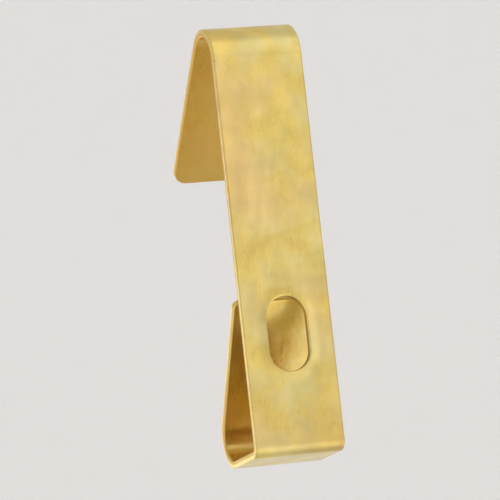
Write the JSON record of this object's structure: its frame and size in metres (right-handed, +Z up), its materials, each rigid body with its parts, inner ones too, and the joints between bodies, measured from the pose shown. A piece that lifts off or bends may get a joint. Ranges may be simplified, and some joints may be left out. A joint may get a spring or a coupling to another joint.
{
  "type": "picture hook",
  "caption": "Bent brass-plated steel strip with a slotted back plate, a loop at the top that guides a slanting pin, and an upturned hook for picture wire at the bottom.",
  "frame": {"origin": "middle of the wall face: half the back plate's height and half the strip's width, on the plane that lies on the wall", "axes": "+Z up as the hook hangs, +Y into the wall, so the hook and its pin loop reach out along -Y, and X across the strip"},
  "size_m": [0.0064, 0.0124, 0.0299],
  "materials": {
    "brass_plating": "satin brass plating on cold-rolled steel strip"
  },
  "bodies": {
    "root": {"picture_hook": "brass_plating"}
  },
  "joints": []
}
